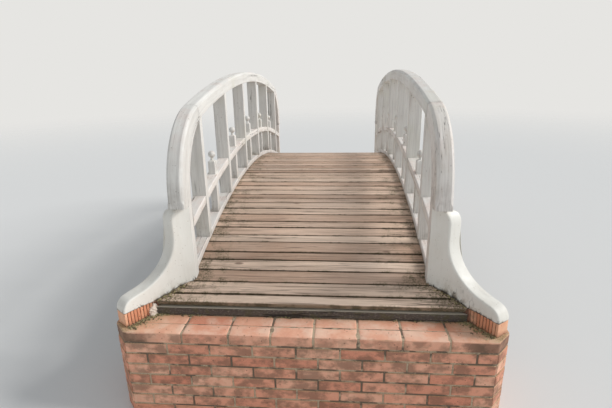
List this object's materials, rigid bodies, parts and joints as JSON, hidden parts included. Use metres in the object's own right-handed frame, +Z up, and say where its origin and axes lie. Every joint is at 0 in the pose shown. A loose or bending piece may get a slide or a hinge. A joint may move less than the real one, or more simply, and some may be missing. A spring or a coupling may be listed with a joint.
{
  "type": "footbridge",
  "caption": "Arched wooden garden footbridge with hooped white handrails, ball-topped posts, flared wing walls and brick abutments; carries walkers over a narrow channel",
  "frame": {"origin": "On the ground line under the middle of the span, at the centre of the outline seen from above.", "axes": "+X across the walkway to the right as a walker comes on from the near end, +Y along the walkway to the far end, +Z up."},
  "size_m": [2.3724, 5.03, 2.0699],
  "materials": {
    "brickwork": "weathered red brick with pale mortar",
    "painted_render": "off-white masonry paint, dirty at the foot",
    "deck_timber": "bare weathered boards with moss at the edges",
    "beam_timber": "dark stained and damp",
    "worn_white_timber": "white paint worn to grey and pink",
    "white_timber": "warm white paint, cracked and lightly chalked"
  },
  "bodies": {
    "root": {"abutment_far": "brickwork", "abutment_near": "brickwork", "ball_post_1_left": "white_timber", "ball_post_1_right": "white_timber", "ball_post_2_left": "white_timber", "ball_post_2_right": "white_timber", "ball_post_3_left": "white_timber", "ball_post_3_right": "white_timber", "ball_post_4_left": "white_timber", "ball_post_4_right": "white_timber", "ball_post_5_left": "white_timber", "ball_post_5_right": "white_timber", "deck_boards_far": "deck_timber", "deck_boards_near": "deck_timber", "end_beam_far": "beam_timber", "end_beam_near": "beam_timber", "handrail_left": "white_timber", "handrail_right": "white_timber", "kerb_left": "worn_white_timber", "kerb_right": "worn_white_timber", "mid_rail_left": "white_timber", "mid_rail_right": "white_timber", "rail_leg_far_left": "white_timber", "rail_leg_far_right": "white_timber", "rail_leg_near_left": "white_timber", "rail_leg_near_right": "white_timber", "stringer_left": "beam_timber", "stringer_middle": "beam_timber", "stringer_right": "beam_timber", "uprights_left": "white_timber", "uprights_right": "white_timber", "wing_plinth_far_left": "brickwork", "wing_plinth_far_right": "brickwork", "wing_plinth_near_left": "brickwork", "wing_plinth_near_right": "brickwork", "wing_wall_far_left": "painted_render", "wing_wall_far_right": "painted_render", "wing_wall_near_left": "painted_render", "wing_wall_near_right": "painted_render"}
  },
  "joints": []
}
